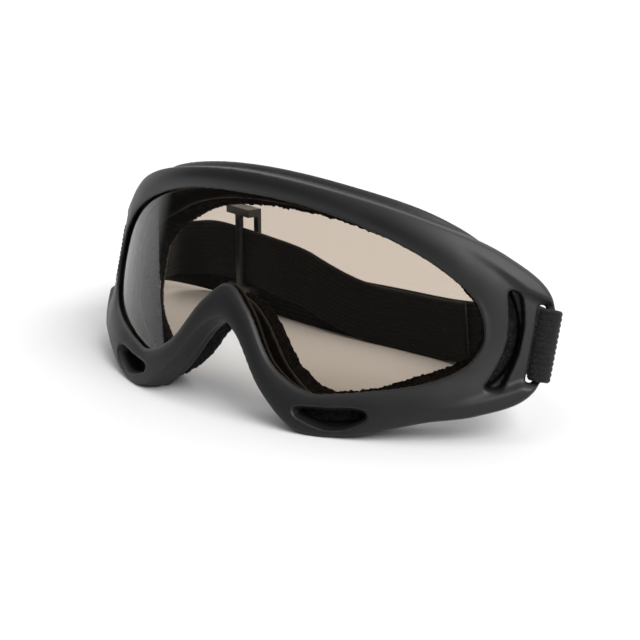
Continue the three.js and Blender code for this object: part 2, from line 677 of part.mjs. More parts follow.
const slider = addMesh(strap, 'strap_slider', sliderBody(), SLIDER_MATERIAL);
const seat = strapFrame(SLIDER_AT);
const seatPlace = returnPlace(SLIDER_AT);
slider.position.copy(seat.point).addScaledVector(seat.inward, seatPlace.inward);
slider.position.z += seatPlace.raise;
slider.setRotationFromMatrix(new THREE.Matrix4().makeBasis(seat.tangent, seat.inward, seat.up));

// ---- origin at the bottom centre of the whole object ----
goggles.updateMatrixWorld(true);
const extent = new THREE.Box3().setFromObject(goggles, true);
const middle = extent.getCenter(new THREE.Vector3());
goggles.position.set(-middle.x, -middle.y, -extent.min.z);

export default goggles;
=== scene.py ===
import json
import math

import bpy
import numpy as np
from mathutils import Matrix, Vector, noise


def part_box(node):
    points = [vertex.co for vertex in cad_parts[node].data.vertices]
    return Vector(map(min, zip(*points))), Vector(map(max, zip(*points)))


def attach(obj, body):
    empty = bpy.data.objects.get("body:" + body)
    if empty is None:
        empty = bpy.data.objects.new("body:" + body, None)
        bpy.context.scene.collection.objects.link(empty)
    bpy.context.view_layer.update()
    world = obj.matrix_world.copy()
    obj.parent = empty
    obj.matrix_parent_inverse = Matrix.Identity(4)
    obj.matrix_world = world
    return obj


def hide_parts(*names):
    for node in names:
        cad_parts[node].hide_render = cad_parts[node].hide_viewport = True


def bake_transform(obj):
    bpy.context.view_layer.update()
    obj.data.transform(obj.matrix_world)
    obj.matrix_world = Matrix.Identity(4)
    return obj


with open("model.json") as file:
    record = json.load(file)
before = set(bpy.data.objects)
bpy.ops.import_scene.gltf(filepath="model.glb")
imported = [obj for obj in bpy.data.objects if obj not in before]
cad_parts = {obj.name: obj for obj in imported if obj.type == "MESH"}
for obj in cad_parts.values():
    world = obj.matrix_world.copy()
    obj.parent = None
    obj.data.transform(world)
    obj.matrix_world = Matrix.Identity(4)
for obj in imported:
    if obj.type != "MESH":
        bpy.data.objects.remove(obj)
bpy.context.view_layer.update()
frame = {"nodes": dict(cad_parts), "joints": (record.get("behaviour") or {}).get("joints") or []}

# Millimetres in the mask's flat drawing, as in the CAD source; metres in every Blender object.
MM = 0.001

# ---- the mask's flat drawing: u along the curved front, v up, w forward ----
FRONT_RADIUS = 114
BEND_END = 84
LEAN = math.radians(15.8)
LIFT = 36.6
PLATE = 4.5
WALL = 2.6
FLANGE = 1.3
LENS_FRONT = -1.4
LENS_THICK = 1.3
LENS_INSET = 2.0
LENS_PLAY = 0.5
LIP = 1.2
PLATE_BACK = LENS_FRONT - LENS_THICK - LENS_PLAY - LIP
RIDGE_START = 0.4
RIDGE_WIDTH = 3
RIDGE_ROOM = 0.8
RIDGE_RAMP = 0.23
FOAM_DEPTH = 6
FOAM_TAPER = -0.12
LINING_DEPTH = 0.8
STRAP_WIDTH = 20
STRAP_THICK = 1.6
GAP = 0.3
HINGE_Y = 54
HINGE_Z = 21.1

# Half of each outline, from the top centre over the ear and the cheek to the nose:
# lens opening (u, v), plate edge (u, v), side wall (u, v), wall depth, rearward rise, foam width, crown,
# how far the plate falls back at its edge, and the height of the ridge on the wall behind it.
ROWS = [
    (0, 26.6, 0, 33.3, 0, 33.6, 15.5, 0, 8, 1.2, 0, 1.9),
    (26.6, 25.2, 29.5, 31.7, 29.8, 32.0, 15.5, 0, 8, 1.2, 0.4, 1.9),
    (51.3, 19.8, 58.9, 27.6, 58.9, 27.8, 14.5, 0, 9.5, 1.0, 2.0, 1.8),
    (66.0, 13.9, 81.7, 21.9, 76.5, 21.6, 10.5, 0, 11, 0.9, 3.2, 1.2),
    (75.3, 7.3, 94.9, 13.8, 87.5, 12.6, 8.2, 0, 12, 0.9, 1.6, 0.4),
    (78.4, -1.9, 98.6, -1.0, 91.6, -1.5, 8.2, 0, 12, 0.8, 0, 0),
    (75.0, -9.3, 93.5, -15.0, 87.0, -14.0, 8.2, 0.1, 11, 1.1, 0, 0),
    (67.5, -14.8, 80.0, -22.6, 77.5, -21.8, 8.2, 0.25, 9, 1.4, 0, 0),
    (58.5, -18.4, 67.5, -26.5, 67.0, -26.4, 8.2, 0.32, 7.5, 1.4, 0, 0),
    (50.4, -20.9, 57.0, -30.6, 57.0, -30.5, 8.6, 0.32, 7, 1.4, 0, 0),
    (42.0, -23.2, 47.0, -34.6, 47.0, -34.4, 8.8, 0.32, 7, 1.2, 0, 0),
    (32.3, -24.7, 31.4, -36.4, 31.6, -36.2, 8.8, 0.32, 7, 1.2, 0, 0),
    (20.4, -19.5, 18.3, -27.8, 18.3, -27.6, 8.2, 0.2, 7, 1.2, 0, 0),
    (9.0, -5.7, 6.2, -13.5, 6.3, -13.2, 7.4, 0.05, 7, 1.2, 0, 0),
    (0, 0.5, 0, -10.3, 0, -10.0, 7.0, 0, 7.5, 1.2, 0, 0),
]

hinge = next(joint for joint in frame["joints"] if joint["name"] == "strap_lift")
frame_low, frame_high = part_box("frame")
SHIFT = np.array([
    (frame_low[0] + frame_high[0]) / 2 / MM,
    hinge["pos_m"][1] / MM - HINGE_Y,
    0.0,
])


def wrap(u, v, w):
    """The bent drawing's points, leaned back and lifted into the row frame, in millimetres."""
    u, v, w = (np.asarray(value, float) for value in np.broadcast_arrays(u, v, w))
    side = np.where(u < 0, -1.0, 1.0)
    bent = np.minimum(np.abs(u), BEND_END)
    straight = np.abs(u) - bent
    angle = bent / FRONT_RADIUS
    x = side * (FRONT_RADIUS * np.sin(angle) + straight * np.cos(angle) + w * np.sin(angle))
    y = FRONT_RADIUS * (1 - np.cos(angle)) + straight * np.sin(angle) - w * np.cos(angle)
    cos, sin = math.cos(LEAN), math.sin(LEAN)
    return np.stack([x, y * cos + v * sin, v * cos - y * sin + LIFT], -1) + SHIFT


# ---- curves ----
def catmull(points, closed, t):
    """Centripetal Catmull-Rom curve through points; t counts control points."""
    points = np.asarray(points, float)
    count = len(points)
    t = np.asarray(t, float)
    if closed:
        index = np.floor(t).astype(int)
    else:
        index = np.clip(np.floor(t).astype(int), 0, count - 2)
    weight = (t - index)[:, None]
    if closed:
        four = [points[(index + k) % count] for k in (-1, 0, 1, 2)]
    else:
        padded = np.vstack([2 * points[0] - points[1], points, 2 * points[-1] - points[-2]])
        four = [padded[index + k] for k in (0, 1, 2, 3)]
    p0, p1, p2, p3 = four
    step = [np.sqrt(np.linalg.norm(b - a, axis=1))[:, None] for a, b in ((p0, p1), (p1, p2), (p2, p3))]
    step[1] = np.where(step[1] < 1e-4, 1, step[1])
    step[0] = np.where(step[0] < 1e-4, step[1], step[0])
    step[2] = np.where(step[2] < 1e-4, step[1], step[2])
    m1 = ((p1 - p0) / step[0] - (p2 - p0) / (step[0] + step[1]) + (p2 - p1) / step[1]) * step[1]
    m2 = ((p2 - p1) / step[1] - (p3 - p1) / (step[1] + step[2]) + (p3 - p2) / step[2]) * step[1]
    s2, s3 = weight ** 2, weight ** 3
    return ((2 * s3 - 3 * s2 + 1) * p1 + (s3 - 2 * s2 + weight) * m1
            + (3 * s2 - 2 * s3) * p2 + (s3 - s2) * m2)


ring_rows = np.array(ROWS, float)
other_half = ring_rows[1:-1][::-1].copy()
other_half[:, [0, 2, 4]] *= -1
ring_rows = np.vstack([ring_rows, other_half])
RING = len(ring_rows)


class Edge:
    """A closed outline of the mask sampled at ring positions, with its outward direction."""

    def __init__(self, columns, t):
        curve = catmull(columns, True, t)
        ahead = catmull(columns, True, t + 1e-3)
        behind = catmull(columns, True, t - 1e-3)
        along = (ahead - behind)[:, :2]
        along /= np.linalg.norm(along, axis=1)[:, None]
        self.place = curve[:, :2]
        self.value = curve[:, 2]
        self.across = np.stack([-along[:, 1], along[:, 0]], 1)

    def out(self, distance):
        return self.place + self.across * np.asarray(distance).reshape(-1, 1)


class Stations:
    def __init__(self, t):
        rows = ring_rows
        full_depth = rows[:, 6]
        self.opening = Edge(rows[:, [0, 1, 9]], t)
        self.plate = Edge(rows[:, [2, 3, 10]], t)
        self.wall = Edge(rows[:, 4:7], t)
        rear = np.column_stack([rows[:, 4], rows[:, 5] + rows[:, 7] * full_depth, rows[:, 8]])
        self.rear = Edge(rear, t)
        slope = np.where(rows[:, 5] > 0, FOAM_TAPER, rows[:, 7])
        self.pad = Edge(np.column_stack([rear[:, :2] + [[0, FOAM_DEPTH]] * slope[:, None], rows[:, 11]]), t)
        self.ridge = self.pad.value
        self.depth = self.wall.value
        self.foam = self.rear.value


# ---- mesh helpers ----
def new_object(name, verts, faces, material=None, smooth=True, uv=None):
    """verts in millimetres, row frame. uv holds one pair per vertex, in millimetres."""
    mesh = bpy.data.meshes.new(name)
    mesh.from_pydata((np.asarray(verts) * MM).tolist(), [], [list(face) for face in faces])
    mesh.validate()
    if uv is not None:
        layer = mesh.uv_layers.new(name="UVMap")
        corner = np.empty(len(mesh.loops), np.int32)
        mesh.loops.foreach_get("vertex_index", corner)
        layer.data.foreach_set("uv", np.asarray(uv, np.float32)[corner].ravel())
    obj = bpy.data.objects.new(name, mesh)
    bpy.context.scene.collection.objects.link(obj)
    if material is not None:
        mesh.materials.append(material)
    if smooth:
        mesh.polygons.foreach_set("use_smooth", [True] * len(mesh.polygons))
    return obj


def grid_faces(rings, size, closed_along, closed_round=True):
    """Quads of a grid of rings of size points, facing either way; recalculated by fix_normals."""
    faces = []
    for i in range(rings if closed_along else rings - 1):
        here, there = i * size, ((i + 1) % rings) * size
        for j in range(size if closed_round else size - 1):
            k = (j + 1) % size
            faces.append((here + j, there + j, there + k, here + k))
    if not closed_along and closed_round:
        faces.append(tuple(range(size)))
        faces.append(tuple(range(rings * size - 1, (rings - 1) * size - 1, -1)))
    return faces


def fix_normals(obj):
    """Turns all faces outward, judged by the enclosed volume."""
    mesh = obj.data
    mesh.calc_loop_triangles()
    co = np.empty(len(mesh.vertices) * 3)
    mesh.vertices.foreach_get("co", co)
    co = co.reshape(-1, 3)
    tri = np.empty(len(mesh.loop_triangles) * 3, np.int32)
    mesh.loop_triangles.foreach_get("vertices", tri)
    a, b, c = (co[tri.reshape(-1, 3)[:, k]] for k in range(3))
    if np.einsum("ij,ij->i", a, np.cross(b, c)).sum() < 0:
        mesh.flip_normals()
    return obj


def apply_modifiers(obj):
    """Bakes the modifier stack into the mesh."""
    graph = bpy.context.evaluated_depsgraph_get()
    graph.update()
    mesh = bpy.data.meshes.new_from_object(obj.evaluated_get(graph))
    materials = list(obj.data.materials)
    obj.modifiers.clear()
    obj.data = mesh
    mesh.materials.clear()
    for material in materials:
        mesh.materials.append(material)
    mesh.polygons.foreach_set("use_smooth", [True] * len(mesh.polygons))
    return obj


def remesh(obj, voxel, smoothing=2):
    modifier = obj.modifiers.new("voxel", "REMESH")
    modifier.mode = "VOXEL"
    modifier.voxel_size = voxel * MM
    modifier.use_smooth_shade = True
    if smoothing:
        polish = obj.modifiers.new("polish", "SMOOTH")
        polish.factor = 0.5
        polish.iterations = smoothing
    return apply_modifiers(obj)


def roughen(obj, size, amount, seed):
    """Moves each vertex along its normal by seeded noise of the given size, in millimetres."""
    mesh = obj.data
    count = len(mesh.vertices)
    co = np.empty(count * 3)
    mesh.vertices.foreach_get("co", co)
    normal = np.empty(count * 3)
    mesh.vertex_normals.foreach_get("vector", normal)
    co, normal = co.reshape(-1, 3), normal.reshape(-1, 3)
    offset = Vector((seed * 7.3, seed * 3.1, seed * 5.7))
    scale = 1 / (size * MM)
    shift = [noise.noise(Vector(point) * scale + offset) for point in co]
    co += normal * (np.array(shift)[:, None] * amount * MM)
    mesh.vertices.foreach_set("co", co.ravel())
    mesh.update()
    return obj


def flat_sole(obj):
    """Levels whatever reaches below the table, so that the mask stands on flat faces."""
    mesh = obj.data
    co = np.empty(len(mesh.vertices) * 3)
    mesh.vertices.foreach_get("co", co)
    co = co.reshape(-1, 3)
    co[:, 2] = np.maximum(co[:, 2], 0)
    mesh.vertices.foreach_set("co", co.ravel())
    mesh.update()
    return obj


# ---- materials ----
def material(name, base, roughness, **sockets):
    made = bpy.data.materials.new(name)
    made.use_nodes = True
    shader = made.node_tree.nodes["Principled BSDF"]
    shader.inputs["Base Color"].default_value = (*base, 1)
    shader.inputs["Roughness"].default_value = roughness
    for key, value in sockets.items():
        shader.inputs[key.replace("_", " ")].default_value = value
    return made, made.node_tree, shader


def add_node(tree, kind, **values):
    node = tree.nodes.new(kind)
    for key, value in values.items():
        if hasattr(node, key):
            setattr(node, key, value)
        else:
            node.inputs[key.replace("_", " ")].default_value = value
    return node


def noise_node(tree, coordinates, scale, detail=3.0, rough=0.5):
    node = add_node(tree, "ShaderNodeTexNoise")
    node.inputs["Scale"].default_value = scale
    node.inputs["Detail"].default_value = detail
    node.inputs["Roughness"].default_value = rough
    tree.links.new(coordinates, node.inputs["Vector"])
    return node.outputs["Fac"]


def ramp(tree, value, stops):
    node = tree.nodes.new("ShaderNodeValToRGB")
    elements = node.color_ramp.elements
    while len(elements) < len(stops):
        elements.new(0.5)
    for element, (position, color) in zip(elements, stops):
        element.position = position
        element.color = (*color, 1) if len(color) == 3 else (color[0],) * 3 + (1,)
    tree.links.new(value, node.inputs["Fac"])
    return node.outputs["Color"]


def math_node(tree, operation, a, b=None):
    node = tree.nodes.new("ShaderNodeMath")
    node.operation = operation
    for socket, value in zip(node.inputs, (a, b)):
        if value is None:
            continue
        if isinstance(value, (int, float)):
            socket.default_value = value
        else:
            tree.links.new(value, socket)
    return node.outputs["Value"]


def bump(tree, shader, height, distance, strength=1.0, normal=None):
    node = tree.nodes.new("ShaderNodeBump")
    node.inputs["Distance"].default_value = distance * MM
    node.inputs["Strength"].default_value = strength
    tree.links.new(height, node.inputs["Height"])
    if normal is not None:
        tree.links.new(normal, node.inputs["Normal"])
    tree.links.new(node.outputs["Normal"], shader.inputs["Normal"])
    return node.outputs["Normal"]


def moulded_rubber(name, base, roughness, specular=0.35):
    made, tree, shader = material(name, base, roughness, Specular_IOR_Level=specular)
    place = add_node(tree, "ShaderNodeTexCoord").outputs["Object"]
    grain = noise_node(tree, place, 2600, 2)
    cloud = noise_node(tree, place, 45, 4)
    tree.links.new(
        ramp(tree, cloud, [(0.3, [c * 0.86 for c in base]), (0.7, [c * 1.16 for c in base])]),
        shader.inputs["Base Color"])
    tree.links.new(
        ramp(tree, math_node(tree, "ADD", cloud, math_node(tree, "MULTIPLY", grain, 0.25)),
             [(0.35, [roughness * 0.9]), (0.85, [min(1, roughness * 1.15)])]),
        shader.inputs["Roughness"])
    bump(tree, shader, grain, 0.05, 0.35)
    return made


def open_foam(name, base):
    made, tree, shader = material(name, base, 1.0, Specular_IOR_Level=0.2)
    place = add_node(tree, "ShaderNodeTexCoord").outputs["Object"]
    cells = tree.nodes.new("ShaderNodeTexVoronoi")
    cells.inputs["Scale"].default_value = 1500
    tree.links.new(place, cells.inputs["Vector"])
    cloud = noise_node(tree, place, 600, 4)
    height = math_node(tree, "ADD", cells.outputs["Distance"], cloud)
    tree.links.new(
        ramp(tree, cloud, [(0.35, [c * 0.5 for c in base]), (0.75, [c * 2.2 for c in base])]),
        shader.inputs["Base Color"])
    bump(tree, shader, height, 0.5, 0.9)
    return made


def fleece(name, base):
    made, tree, shader = material(name, base, 1.0, Specular_IOR_Level=0.15, Sheen_Weight=0.35)
    place = add_node(tree, "ShaderNodeTexCoord").outputs["Object"]
    nap = noise_node(tree, place, 1800, 5, 0.7)
    tree.links.new(
        ramp(tree, nap, [(0.35, [c * 0.5 for c in base]), (0.7, [c * 2.0 for c in base])]),
        shader.inputs["Base Color"])
    bump(tree, shader, nap, 0.4, 0.8)
    return made


def webbing(name, base):
    """Ribbed elastic: the ribs are in the mesh, and this adds the cross weave and pale flecks."""
    made, tree, shader = material(name, base, 0.92, Specular_IOR_Level=0.2, Sheen_Weight=0.08)
    coordinates = add_node(tree, "ShaderNodeTexCoord")
    split = tree.nodes.new("ShaderNodeSeparateXYZ")
    tree.links.new(coordinates.outputs["UV"], split.inputs["Vector"])
    along = math_node(tree, "SINE", math_node(tree, "MULTIPLY", split.outputs["X"], 2 * math.pi / 0.62))
    across = math_node(tree, "SINE", math_node(tree, "MULTIPLY", split.outputs["Y"], 2 * math.pi / 0.77))
    knit = math_node(tree, "MULTIPLY", along, across)
    flecks = noise_node(tree, coordinates.outputs["Object"], 2400, 3, 0.6)
    height = math_node(tree, "ADD", math_node(tree, "MULTIPLY", knit, 0.5), flecks)
    bright = ramp(tree, flecks, [(0.45, base), (0.62, [c * 1.8 for c in base]), (0.74, [0.06, 0.06, 0.06])])
    tree.links.new(bright, shader.inputs["Base Color"])
    bump(tree, shader, height, 0.22, 0.9)
    return made


def tinted_lens(name, tint):
    """A tinted pane: what is behind it shows through its colour, and the surface mirrors by angle."""
    made = bpy.data.materials.new(name)
    made.use_nodes = True
    tree = made.node_tree
    tree.nodes.clear()
    clear = tree.nodes.new("ShaderNodeBsdfTransparent")
    gloss = tree.nodes.new("ShaderNodeBsdfGlossy")
    gloss.inputs["Roughness"].default_value = 0.03
    fresnel = tree.nodes.new("ShaderNodeFresnel")
    fresnel.inputs["IOR"].default_value = 1.5
    place = add_node(tree, "ShaderNodeTexCoord").outputs["Object"]
    cloud = noise_node(tree, place, 12, 2)
    tree.links.new(
        ramp(tree, cloud, [(0.3, [c * 0.985 for c in tint]), (0.7, tint)]), clear.inputs["Color"])
    mix = tree.nodes.new("ShaderNodeMixShader")
    output = tree.nodes.new("ShaderNodeOutputMaterial")
    face = tree.nodes.new("ShaderNodeNewGeometry")
    front_only = math_node(tree, "SUBTRACT", 1.0, face.outputs["Backfacing"])
    mirror = math_node(tree, "MULTIPLY", fresnel.outputs["Fac"], front_only)
    tree.links.new(mirror, mix.inputs["Fac"])
    tree.links.new(clear.outputs["BSDF"], mix.inputs[1])
    tree.links.new(gloss.outputs["BSDF"], mix.inputs[2])
    tree.links.new(mix.outputs["Shader"], output.inputs["Surface"])
    return made


FRAME_MATERIAL = moulded_rubber("frame rubber", (0.0062, 0.0063, 0.0065), 0.45)
FOAM_MATERIAL = open_foam("open cell foam", (0.008, 0.0075, 0.007))
FLEECE_MATERIAL = fleece("fleece lining", (0.013, 0.011, 0.010))
WEBBING_MATERIAL = webbing("elastic webbing", (0.006, 0.006, 0.0065))
SLIDER_MATERIAL = moulded_rubber("slider plastic", (0.03, 0.03, 0.032), 0.28)
THREAD_MATERIAL = webbing("thread", (0.02, 0.02, 0.02))
LENS_MATERIAL = tinted_lens("smoke lens", (0.76, 0.705, 0.643))

# ---- frame ----
RING_STEPS = 16
FACE_STEPS = 26


def smoothstep(low, high, value):
    t = np.clip((value - low) / (high - low), 0, 1)
    return t * t * (3 - 2 * t)


UPPER_STEP = [(69, 22.4), (79.4, 17.8), (88.0, 13.2), (94.0, 11.6), (104, 11.4)]
LOWER_STEP = [(70, -21.8), (78.8, -18.0), (86, -14.4), (91, -11.6), (104, -11.4)]


def ear_recess(u, v):
    """How far the plate inside the ear's raised rim is sunk, growing towards the strap slot."""
    reach = np.abs(u)
    upper = np.interp(reach, *zip(*UPPER_STEP))
    lower = np.interp(reach, *zip(*LOWER_STEP))
    inside = (1 - smoothstep(-1.3, 1.3, v - upper)) * smoothstep(-1.3, 1.3, v - lower)
    return inside * (0.4 * smoothstep(66, 76, reach) + 2.0 * smoothstep(74, 96, reach))


def frame_profile(at):
    """Points of the frame's cross-section, from the lens edge over the front and back inside."""
    crown = at.opening.value
    fall = at.plate.value
    layers = []

    def add(place, w):
        layers.append((place, np.broadcast_to(w, crown.shape)))

    add(at.opening.out(0), -0.6)
    add(at.opening.out(0.12), -0.2)
    add(at.opening.out(0.5), 0.05 + 0 * crown)
    for i in range(FACE_STEPS):
        share = 0.08 + 0.87 * i / (FACE_STEPS - 1)
        place = at.opening.place + (at.plate.place - at.opening.place) * share
        lifted = crown * (1 - np.abs((share - 0.6) / 0.6) ** 2.2)
        add(place, 0.15 + lifted - fall * share ** 2 - ear_recess(place[:, 0], place[:, 1]))
    edge_lift = crown * 0.35 - fall
    add(at.plate.out(-0.25), edge_lift - 0.35 - 0.8 * ear_recess(*at.plate.place.T))
    add(at.plate.out(0.0), edge_lift - 1.0 - 0.6 * ear_recess(*at.plate.place.T))
    add(at.plate.out(0.15), -2.2 - fall)
    wall_front = -PLATE - fall
    span = np.minimum(RIDGE_WIDTH, RIDGE_ROOM * (wall_front + at.depth))
    add(at.plate.out(0.2), wall_front)
    add(at.wall.out(at.ridge * RIDGE_START), wall_front - 0.02)
    add(at.wall.out(at.ridge), wall_front - span * RIDGE_RAMP)
    add(at.wall.out(at.ridge), wall_front - span * (1 - RIDGE_RAMP))
    add(at.wall.out(0), wall_front - span)
    for share in (0.25, 0.5, 0.75, 1.0):
        place = at.wall.out(0) + (at.rear.out(0) - at.wall.out(0)) * share
        add(place, wall_front - span - (at.depth + wall_front - span) * share)
    add(at.rear.out(-at.foam), -at.depth)
    add(at.rear.out(-at.foam), -at.depth + FLANGE)
    add(at.rear.out(-WALL), -at.depth + FLANGE)
    add(at.wall.out(-WALL), PLATE_BACK)
    add(at.opening.out(0.5), PLATE_BACK)
    add(at.opening.out(0.5), LENS_FRONT - LENS_THICK - LENS_PLAY)
    add(at.opening.out(LENS_INSET + LENS_PLAY), LENS_FRONT - LENS_THICK - LENS_PLAY)
    add(at.opening.out(LENS_INSET + LENS_PLAY), LENS_FRONT + LENS_PLAY)
    add(at.opening.out(0), LENS_FRONT + LENS_PLAY)
    return layers


def ring_object(name, profile, steps, material_used, t0=0.0, t1=RING):
    closed = t1 - t0 == RING
    count = int(round((t1 - t0) * steps)) + (0 if closed else 1)
    t = t0 + (t1 - t0) * np.arange(count) / (count if closed else count - 1)
    layers = profile(Stations(t))
    verts = np.stack([wrap(place[:, 0], place[:, 1], w) for place, w in layers], 1)
    size = len(layers)
    obj = new_object(name, verts.reshape(-1, 3), grid_faces(count, size, closed), material_used)
    return fix_normals(obj)


def rounded_outline(points, steps=6):
    t = np.arange(len(points) * steps) / steps
    return catmull(np.array(points, float), True, t)


def cutter(outline, levels, side):
    """A cutter through the plate: levels are (w, how far the outline is widened there)."""
    outline = np.array(outline)
    ahead = np.roll(outline, -1, 0) - np.roll(outline, 1, 0)
    across = np.stack([ahead[:, 1], -ahead[:, 0]], 1)
    across /= np.linalg.norm(across, axis=1)[:, None]
    area = np.cross(outline, np.roll(outline, -1, 0)).sum()
    across *= math.copysign(1, area)
    rings = []
    for w, wider in levels:
        place = outline + across * wider
        rings.append(wrap(place[:, 0] * side, place[:, 1], w))
    verts = np.concatenate(rings)
    obj = new_object("cutter", verts, grid_faces(len(levels), len(outline), False))
    return fix_normals(obj)


EAR_VENT = [
    (83.2, 12.9), (86.3, 12.8), (88.2, 8.5), (89.0, 2.9), (88.7, -4.2), (87.4, -9.5), (85.6, -13.8),
    (81.4, -14.2), (82.2, -12.2), (83.8, -7.4), (84.9, -2.1), (84.7, 3.8), (83.8, 8.2),
]
LOWER_VENT = [
    (30.4, -30.6), (35.0, -32.3), (41.1, -32.9), (46.6, -31.0), (50.1, -27.9), (47.2, -27.5), (40.4, -28.7),
]
TOP_VENTS = [(16, 33.2), (31.5, 31.8), (47, 29.6)]
SLOT_INNER, SLOT_OUTER, POST_OUTER = 92.0, 94.5, 97.4
SLOT_TOP, SLOT_BOTTOM = 10.6, -11.0
POST_FRONT = -2.0
PAD_FRONT = PLATE_BACK - 0.6
PAD_THICK = 1.4
TOP_VENT_FRONT, TOP_VENT_BACK = -9.6, -12.8
SLOT_MIDDLE = (SLOT_TOP + SLOT_BOTTOM) / 2


def rectangle(u0, u1, v0, v1, corner=0.8):
    points = []
    for cu, cv, start in ((u1 - corner, v1 - corner, 0), (u0 + corner, v1 - corner, 90),
                          (u0 + corner, v0 + corner, 180), (u1 - corner, v0 + corner, 270)):
        for i in range(5):
            angle = math.radians(start + 22.5 * i)
            points.append((cu + corner * math.cos(angle), cv + corner * math.sin(angle)))
    return points


def frame_cutters():
    made = []
    for side in (1, -1):
        ear_flare = [(PAD_FRONT, 0), (-0.9, 0), (0.6, 0.9), (6, 3)]
        lower_flare = [(PAD_FRONT, 0), (-1.2, 0.1), (0.6, 0.9), (4, 2.6)]
        made.append(cutter(rounded_outline(EAR_VENT), ear_flare, side))
        made.append(cutter(rounded_outline(LOWER_VENT), lower_flare, side))
        slot = rectangle(SLOT_INNER, SLOT_OUTER, SLOT_BOTTOM, SLOT_TOP, 0.6)
        notch = rectangle(POST_OUTER, 106, SLOT_BOTTOM, SLOT_TOP, 0.6)
        face = rectangle(SLOT_INNER, 106, SLOT_BOTTOM, SLOT_TOP, 0.6)
        made.append(cutter(slot, [(-8, 0), (6, 0)], side))
        made.append(cutter(notch, [(-8, 0), (6, 0)], side))
        made.append(cutter(face, [(POST_FRONT, 0), (6, 0)], side))
        made.append(cutter(face, [(-8, 0), (-PLATE, 0)], side))
        for centre, height in TOP_VENTS:
            outline = rectangle(centre - 5.5, centre + 5.5, height - 6, height + 3, 0.5)
            made.append(cutter(outline, [(TOP_VENT_BACK, 0), (TOP_VENT_FRONT, 0)], side))
    return made


frame_piece = ring_object("frame_body", frame_profile, RING_STEPS, FRAME_MATERIAL)
cutters = frame_cutters()
cutter_collection = bpy.data.collections.new("cutters")
bpy.context.scene.collection.children.link(cutter_collection)
for piece in cutters:
    bpy.context.scene.collection.objects.unlink(piece)
    cutter_collection.objects.link(piece)
boolean = frame_piece.modifiers.new("vents", "BOOLEAN")
boolean.operation = "DIFFERENCE"
boolean.operand_type = "COLLECTION"
boolean.collection = cutter_collection
boolean.solver = "EXACT"
apply_modifiers(frame_piece)
for piece in cutters:
    bpy.data.objects.remove(piece, do_unlink=True)
bpy.data.collections.remove(cutter_collection)
remesh(frame_piece, 0.42, 3)
flat_sole(frame_piece)
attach(frame_piece, "mask")
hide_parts("frame")


# ---- lens ----
def lens_object():
    columns, rows = 150, 26
    t = np.arange(RING * 40) / 40
    outline = Stations(t).opening.out(LENS_INSET)
    after = np.roll(outline, -1, 0)
    reach = outline[:, 0].max() - 0.25
    share = np.linspace(-1, 1, columns + 1)
    us = reach * np.sin(share * math.pi / 2) + 1e-4
    front, back = [], []
    for u in us:
        crossing = (outline[:, 0] - u) * (after[:, 0] - u) < 0
        a, b = outline[crossing], after[crossing]
        heights = a[:, 1] + (b[:, 1] - a[:, 1]) * (u - a[:, 0]) / (b[:, 0] - a[:, 0])
        vs = np.linspace(heights.min(), heights.max(), rows + 1)
        front.append(wrap(u, vs, LENS_FRONT))
        back.append(wrap(u, vs[::-1], LENS_FRONT - LENS_THICK))
    loops = np.concatenate([np.array(front), np.array(back)], 1)
    size = loops.shape[1]
    obj = new_object("lens_pane", loops.reshape(-1, 3), grid_faces(columns + 1, size, False), LENS_MATERIAL)
    return fix_normals(obj)


lens_piece = lens_object()
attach(lens_piece, "mask")
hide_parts("lens")


# ---- foams ----
def foam_profile(at):
    front = -at.depth - GAP
    back = front - FOAM_DEPTH
    width = at.foam
    return [
        (at.rear.out(-0.6), front),
        (at.rear.out(-0.4) * 0.5 + at.pad.out(-0.4) * 0.5, (front + back) / 2),
        (at.pad.out(-0.2), back + 2.2),
        (at.pad.out(-0.5), back + 1.1),
        (at.pad.out(-1.6), back + 0.2),
        (at.pad.out(-width * 0.35), back),
        (at.pad.out(-width * 0.7), back),
        (at.pad.out(-width + 0.9), back + 0.2),
        (at.pad.out(-width - 0.2), back + 1.1),
        (at.pad.out(-width - 0.5), back + 2.2),
        ((at.rear.out(-width) + at.pad.out(-width)) * 0.5, (front + back) / 2),
        (at.rear.out(-width + 0.4), front),
        (at.rear.out(-width * 0.5), front),
    ]


def lining_profile(at):
    front = -at.depth - 3 * GAP - FOAM_DEPTH
    width = at.foam
    return [
        (at.pad.out(-1.5), front),
        (at.pad.out(-1.6), front - LINING_DEPTH * 0.6),
        (at.pad.out(-2.4), front - LINING_DEPTH),
        (at.pad.out(-width * 0.5), front - LINING_DEPTH - 0.15),
        (at.pad.out(-width + 1.4), front - LINING_DEPTH),
        (at.pad.out(-width + 0.8), front - LINING_DEPTH * 0.6),
        (at.pad.out(-width + 0.7), front),
        (at.pad.out(-width * 0.5), front),
    ]


def subdivide(obj, levels):
    modifier = obj.modifiers.new("subdivide", "SUBSURF")
    modifier.levels = modifier.render_levels = levels
    return apply_modifiers(obj)


foam_piece = ring_object("face_foam_pad", foam_profile, 7, FOAM_MATERIAL)
subdivide(foam_piece, 2)
roughen(foam_piece, 3.0, 0.35, 1)
roughen(foam_piece, 0.9, 0.7, 2)
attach(foam_piece, "mask")
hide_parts("face_foam")

lining_piece = ring_object("face_foam_fleece", lining_profile, 8, FLEECE_MATERIAL)
subdivide(lining_piece, 2)
roughen(lining_piece, 1.2, 0.3, 3)
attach(lining_piece, "mask")
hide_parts("face_foam_lining")


def off_wall(at, w, out):
    share = ((PLATE_BACK - w) / (PLATE_BACK + at.depth - FLANGE)).reshape(-1, 1)
    front = at.wall.out(-WALL - out)
    return front + (at.rear.out(-WALL - out) - front) * share


